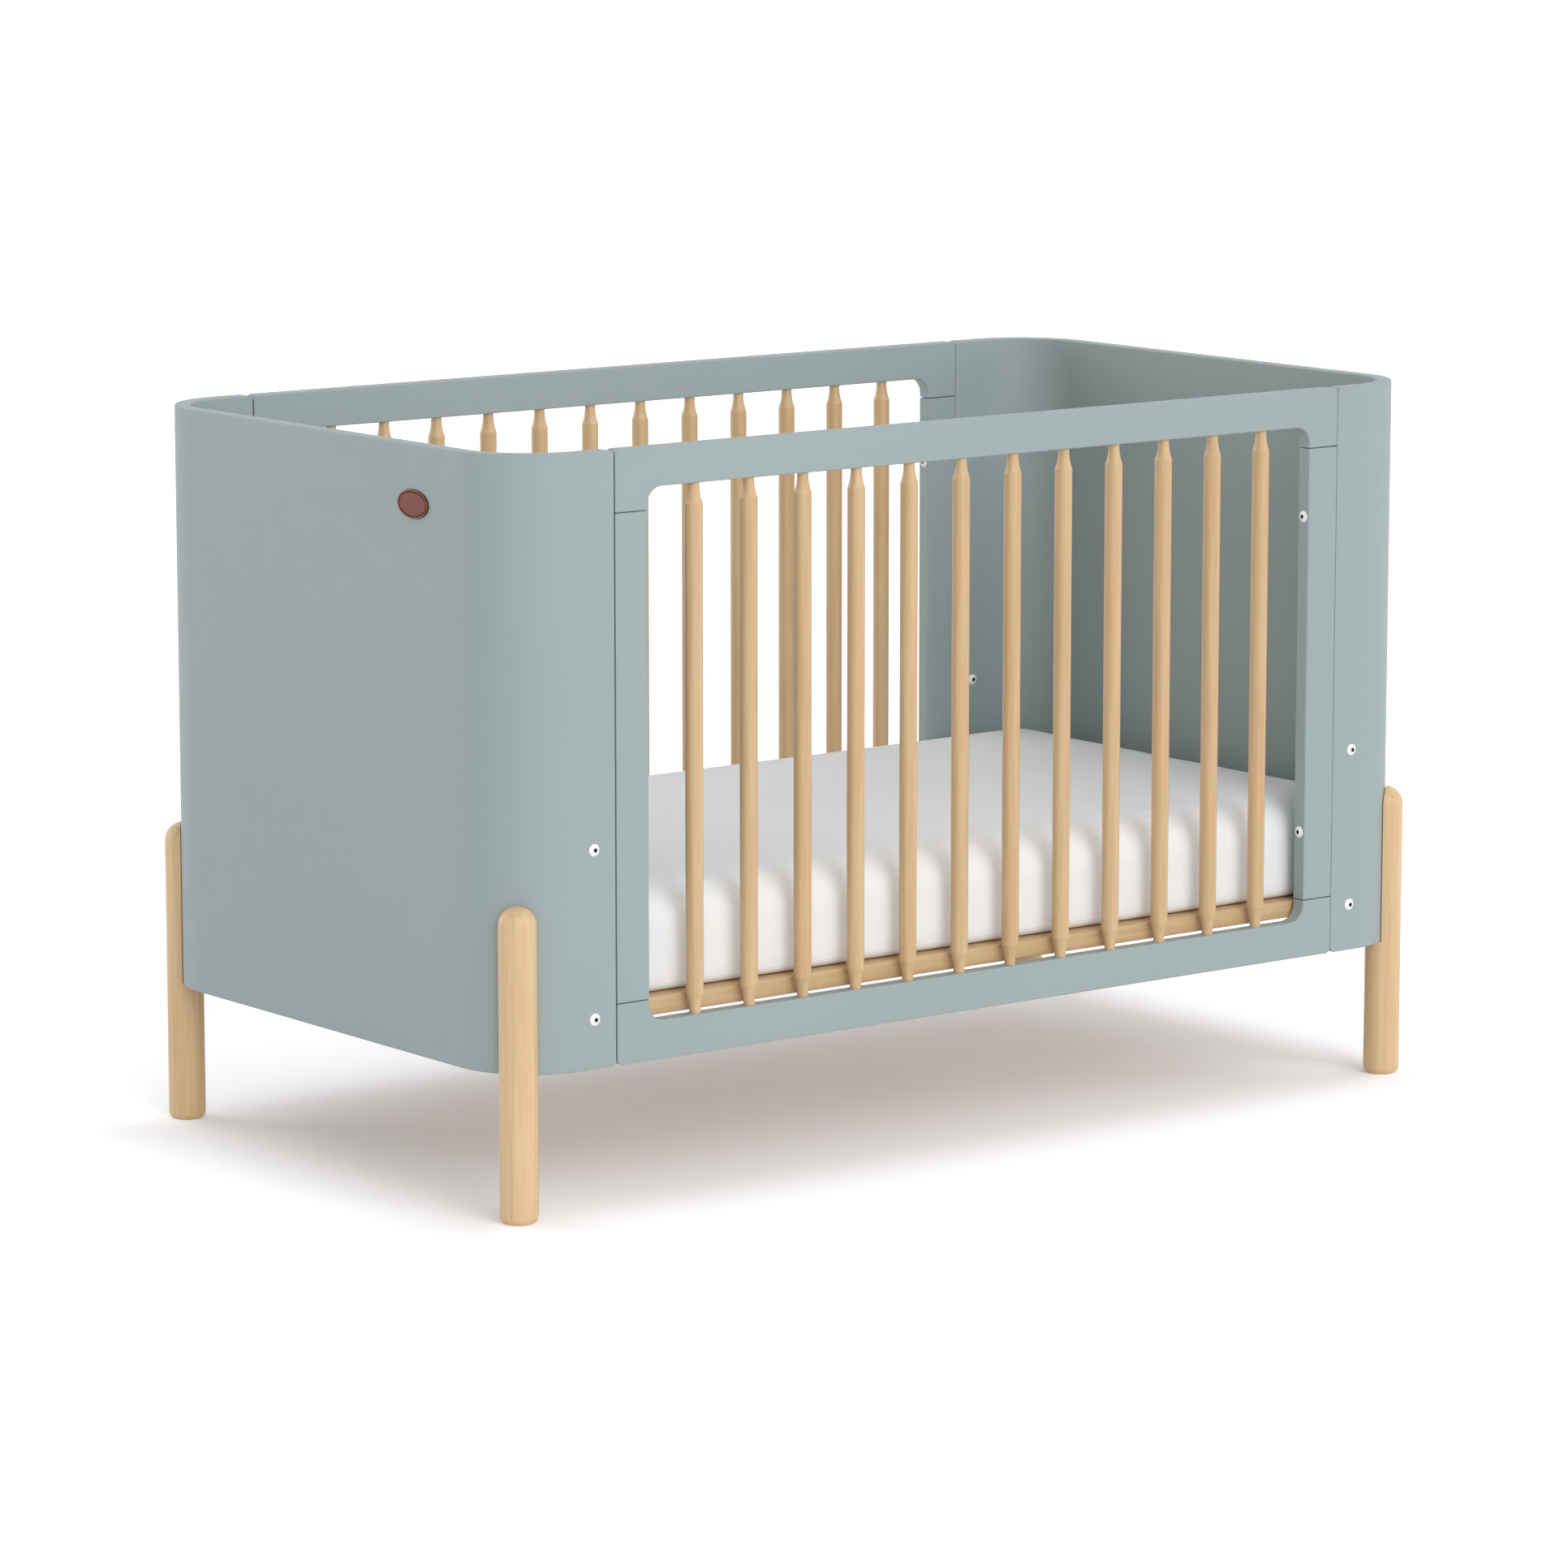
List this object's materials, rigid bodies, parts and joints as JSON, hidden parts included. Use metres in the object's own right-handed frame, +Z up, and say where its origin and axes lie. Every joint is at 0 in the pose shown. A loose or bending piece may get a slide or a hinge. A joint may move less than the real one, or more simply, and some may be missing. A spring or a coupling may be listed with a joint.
{
  "type": "baby crib",
  "caption": "Baby crib with bent C-shaped end panels, round turned spindles, round outboard legs, a slatted base of adjustable height and a mattress.",
  "frame": {"origin": "centre of the footprint, on the floor between the four legs", "axes": "+X along the crib towards its right end, -Y out of the front side, +Z up"},
  "size_m": [1.372, 0.751, 0.862],
  "materials": {
    "paint": "satin grey-green paint on board",
    "beech": "satin clear lacquer on natural beech",
    "white_steel": "satin white coating on steel",
    "zinc_steel": "zinc-plated",
    "copper": "satin brown copper",
    "cover": "matte knitted white cover"
  },
  "bodies": {
    "frame": {"left_end_panel": "paint", "right_end_panel": "paint", "front_top_rail": "paint", "front_bottom_rail": "paint", "rear_top_rail": "paint", "rear_bottom_rail": "paint", "front_left_stile": "paint", "front_right_stile": "paint", "rear_left_stile": "paint", "rear_right_stile": "paint", "front_spindle_01": "beech", "front_spindle_02": "beech", "front_spindle_03": "beech", "front_spindle_04": "beech", "front_spindle_05": "beech", "front_spindle_06": "beech", "front_spindle_07": "beech", "front_spindle_08": "beech", "front_spindle_09": "beech", "front_spindle_10": "beech", "front_spindle_11": "beech", "front_spindle_12": "beech", "rear_spindle_01": "beech", "rear_spindle_02": "beech", "rear_spindle_03": "beech", "rear_spindle_04": "beech", "rear_spindle_05": "beech", "rear_spindle_06": "beech", "rear_spindle_07": "beech", "rear_spindle_08": "beech", "rear_spindle_09": "beech", "rear_spindle_10": "beech", "rear_spindle_11": "beech", "rear_spindle_12": "beech", "front_left_leg": "beech", "front_right_leg": "beech", "rear_left_leg": "beech", "rear_right_leg": "beech", "frame_bolts": "white_steel", "frame_inserts": "zinc_steel", "panel_dowels": "beech", "stile_dowels": "beech", "leg_bolts": "white_steel", "leg_inserts": "zinc_steel", "base_bolts": "white_steel", "upper_sleeve_nuts": "white_steel", "lower_sleeve_nuts": "white_steel", "badge": "copper"},
    "base": {"base_front_rail": "beech", "base_rear_rail": "beech", "base_left_rail": "beech", "base_right_rail": "beech", "base_centre_rail": "beech", "base_slats": "beech", "base_dowels": "beech"},
    "mattress": {"mattress": "cover"}
  },
  "joints": [
    {"name": "base_height", "type": "slide", "parent": "frame", "child": "base", "axis": [0, 0, 1], "range_m": [0, 0.192]},
    {"name": "mattress_lift", "type": "slide", "parent": "base", "child": "mattress", "axis": [0, 0, 1], "range_m": [0, 0.66]}
  ]
}
